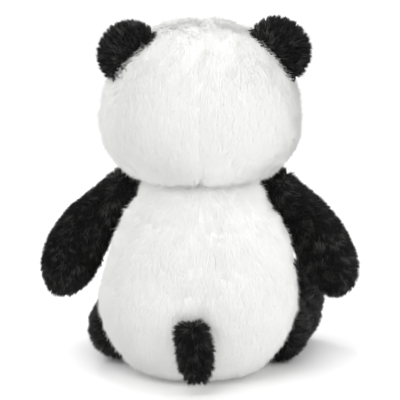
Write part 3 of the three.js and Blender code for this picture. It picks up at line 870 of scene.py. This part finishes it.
def eye_patch(side, s, tree):
    points, faces = patch_form(s, tree)
    patch = SimpleNamespace(
        object=new_object(f"{side}_patch_form", points * MM, faces), body="head", seam=everywhere(99.0),
        local=lambda p: p)
    middle, _ = on_face(s * EYE_AT[0], EYE_AT[1])
    panel(
        f"eye_patch_{side}", patch, everywhere(True), BLACK_SHORT,
        lambda p, local: unit(p - middle) + np.array([0, 0, -0.6]), [f"eye_patch_{side}"], seed=73 + s,
        bald=lambda p: np.linalg.norm((p - middle)[:, [0, 2]], axis=1) < EYE_BALD)
    return patch


def eye(side, s):
    """A domed safety eye with a rounded edge, on a shank that goes into the head."""
    at, out = on_face(s * EYE_AT[0], EYE_AT[1])
    shank = [(1.9, -15), (2.0, -14.5), (2.0, -1.2)]
    rim = [(EYE_RADIUS - 1.2, -1.0), (EYE_RADIUS - 0.3, -0.6), (EYE_RADIUS, 0)]
    arc = np.linspace(0, math.pi / 2, 14)[1:]
    dome = [(EYE_RADIUS * math.cos(a), EYE_DOME * math.sin(a)) for a in arc]
    points, faces = turned([*shank, *rim, *dome], 40)
    points[-1, 2] = EYE_DOME
    turn = np.array(Vector(out).to_track_quat("Z", "Y").to_matrix())
    hard_piece(f"{side}_eye", points @ turn.T + at + EYE_OUT * out, faces, GLOSS, [f"eye_{side}"])


def nose():
    """A rounded, triangular nose."""
    points, faces = sphere(48, 24)
    points[:, 0] *= NOSE_SIZE[0] * (1 + NOSE_TAPER * points[:, 1])
    points[:, 1] *= NOSE_SIZE[1]
    points[:, 2] *= NOSE_SIZE[2]
    y = muzzle_y - MUZZLE_SIZE[1] * math.sqrt(1 - (NOSE_RISE / MUZZLE_SIZE[2]) ** 2)
    points = points @ turn_x(90).T + np.array([0, y - 0.6, MUZZLE_Z + NOSE_RISE])
    hard_piece("plastic_nose", points, faces, NOSE_PLASTIC, ["nose"])


def on_muzzle(x, z):
    share = 1 - (x / MUZZLE_SIZE[0]) ** 2 - ((z - MUZZLE_Z) / MUZZLE_SIZE[2]) ** 2
    return np.array([x, muzzle_y - MUZZLE_SIZE[1] * math.sqrt(share) - MOUTH_RISE, z])


def mouth_lines():
    """The line of stitches down from the nose, and the one across, as points on the muzzle."""
    fork, top = MUZZLE_Z - MOUTH_FORK, MUZZLE_Z + NOSE_RISE - NOSE_SIZE[1] - 1.5
    smile = []
    for across in np.linspace(-1, 1, 41):
        drop = MOUTH_DROP * math.sin(0.75 * math.pi * abs(across))
        smile.append(on_muzzle(MOUTH_HALF_WIDTH * across, fork - drop))
    return [np.array([on_muzzle(0, z) for z in np.linspace(top, fork, 9)]), np.array(smile)]


def tube(path, radius, sides=8):
    """A closed round thread along a path, with tapered ends."""
    along = unit(np.gradient(path, axis=0))
    u = unit(np.cross(along, np.array([0.0, 1.0, 0.0])))
    v = np.cross(along, u)
    share = np.sin(np.linspace(0.12, math.pi - 0.12, len(path))) ** 0.35
    points, faces = [], []
    for k in range(sides):
        angle = 2 * math.pi * k / sides
        points.append(path + radius * share[:, None] * (math.cos(angle) * u + math.sin(angle) * v))
    points = np.stack(points, axis=1).reshape(-1, 3)
    for i in range(len(path) - 1):
        for k in range(sides):
            j = (k + 1) % sides
            faces.append((i * sides + k, i * sides + j, (i + 1) * sides + j, (i + 1) * sides + k))
    faces.append(tuple(reversed(range(sides))))
    faces.append(tuple(range((len(path) - 1) * sides, len(path) * sides)))
    return points, faces


def stitch_paths(line):
    """Each stitch of a line: an arched path that sinks into the cloth at its ends, and the way across it."""
    length = np.concatenate([[0], np.cumsum(np.linalg.norm(np.diff(line, axis=0), axis=1))])
    stitches = max(2, round(length[-1] / STITCH))
    for i in range(stitches):
        ends = np.array([i - STITCH_OVERLAP, i + 1 + STITCH_OVERLAP]) / stitches * length[-1]
        at = np.linspace(max(ends[0], 0), min(ends[1], length[-1]), 9)
        path = np.stack([np.interp(at, length, line[:, k]) for k in range(3)], axis=1)
        path[:, 1] -= STITCH_ARCH * np.sin(np.linspace(0, math.pi, 9)) - STITCH_SINK
        yield path, unit(np.cross(path[-1] - path[0], np.array([0.0, 1.0, 0.0])))


def mouth(lines):
    """Rows of short stitches in two-strand floss."""
    points, faces, count = [], [], 0
    for line in lines:
        for path, across in stitch_paths(line):
            for strand in (-FLOSS_APART, FLOSS_APART):
                more, more_faces = tube(path + strand * across, FLOSS_RADIUS)
                faces += [tuple(v + count for v in f) for f in more_faces]
                points.append(more)
                count += len(more)
    hard_piece("mouth_stitches", np.vstack(points), faces, BLACK_FLOSS, ["mouth_thread"])


def from_line(p, lines):
    """How far each of p is from the nearest point of some lines."""
    line = np.vstack(lines)
    return np.sqrt(((p[:, None, :] - line[None]) ** 2).sum(axis=2).min(axis=1))


def under_nose(p):
    return np.linalg.norm(p - np.array([0, muzzle_y - 24, MUZZLE_Z + NOSE_RISE]), axis=1) < NOSE_BALD


lines = mouth_lines()
panel(
    "muzzle_panel", muzzle, lambda p: p[:, 1] < MUZZLE_BACK, WHITE_SHORT, outwards_from_nose,
    ["muzzle_panel", "muzzle_stuffing"], seed=71, bald=under_nose,
    shorten=lambda p: 0.35 + 0.65 * smoothstep(from_line(p, lines), 0.8, 4.0))
head_tree = BVHTree.FromPolygons(
    [tuple(v) for v in points_of(head.object.data)], [tuple(f.vertices) for f in head.object.data.polygons])
for side, s in SIDES:
    bags.append(eye_patch(side, s, head_tree))
    eye(side, s)
nose()
mouth(lines)

for bag in bags:
    bpy.data.objects.remove(bag.object)

# ---- Parts of the CAD model that stay as they are, out of sight inside the seams ----
INNER_LOOKS = {
    "thread": BLACK_FLOSS, "neck_thread": WHITE_FLOSS, "washer": WASHER_PLASTIC, "pellet_bag": CANVAS,
}
for name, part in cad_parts.items():
    for key, look in INNER_LOOKS.items():
        if key in name and not part.hide_render:
            for each in part.material_slots:
                each.material = look

# ---- Light, floor and camera ----
scene.view_settings.view_transform = "Standard"
world = bpy.data.worlds.new("studio")
scene.world = world
world.use_nodes = True
world.node_tree.nodes["Background"].inputs["Color"].default_value = (1, 1, 1, 1)
world.node_tree.nodes["Background"].inputs["Strength"].default_value = 1.07


def area_light(name, at, aim, size, power):
    data = bpy.data.lights.new(name, "AREA")
    data.shape, data.size, data.energy = "DISK", size, power
    lamp = bpy.data.objects.new(name, data)
    scene.collection.objects.link(lamp)
    lamp.location = at
    lamp.rotation_euler = (Vector(aim) - Vector(at)).to_track_quat("-Z", "Y").to_euler()


area_light("key", at=(0.5, 1.1, 1.3), aim=(0, 0, 0.2), size=1.0, power=9)
area_light("fill", at=(-1.1, 0.7, 0.8), aim=(0, 0, 0.15), size=1.0, power=4)
area_light("catchlight", at=(0.45, -1.2, 0.9), aim=(0, 0, 0.25), size=0.36, power=4.6)

floor = new_object("floor", [(-6, -6, 0), (6, -6, 0), (6, 6, 0), (-6, 6, 0)], [(0, 1, 2, 3)])
floor.data.materials.append(material("floor", (0.95, 0.95, 0.95), 0.8))

camera = bpy.data.objects.new("camera", bpy.data.cameras.new("camera"))
scene.collection.objects.link(camera)
aim = Vector((CAMERA_ASIDE, 0, CAMERA_HEIGHT))
camera.location = (
    CAMERA_ASIDE, CAMERA_DISTANCE * math.cos(CAMERA_ELEVATION),
    CAMERA_HEIGHT + CAMERA_DISTANCE * math.sin(CAMERA_ELEVATION))
camera.rotation_euler = (aim - camera.location).to_track_quat("-Z", "Y").to_euler()
camera.data.lens, camera.data.sensor_width = 143, 36
scene.camera = camera
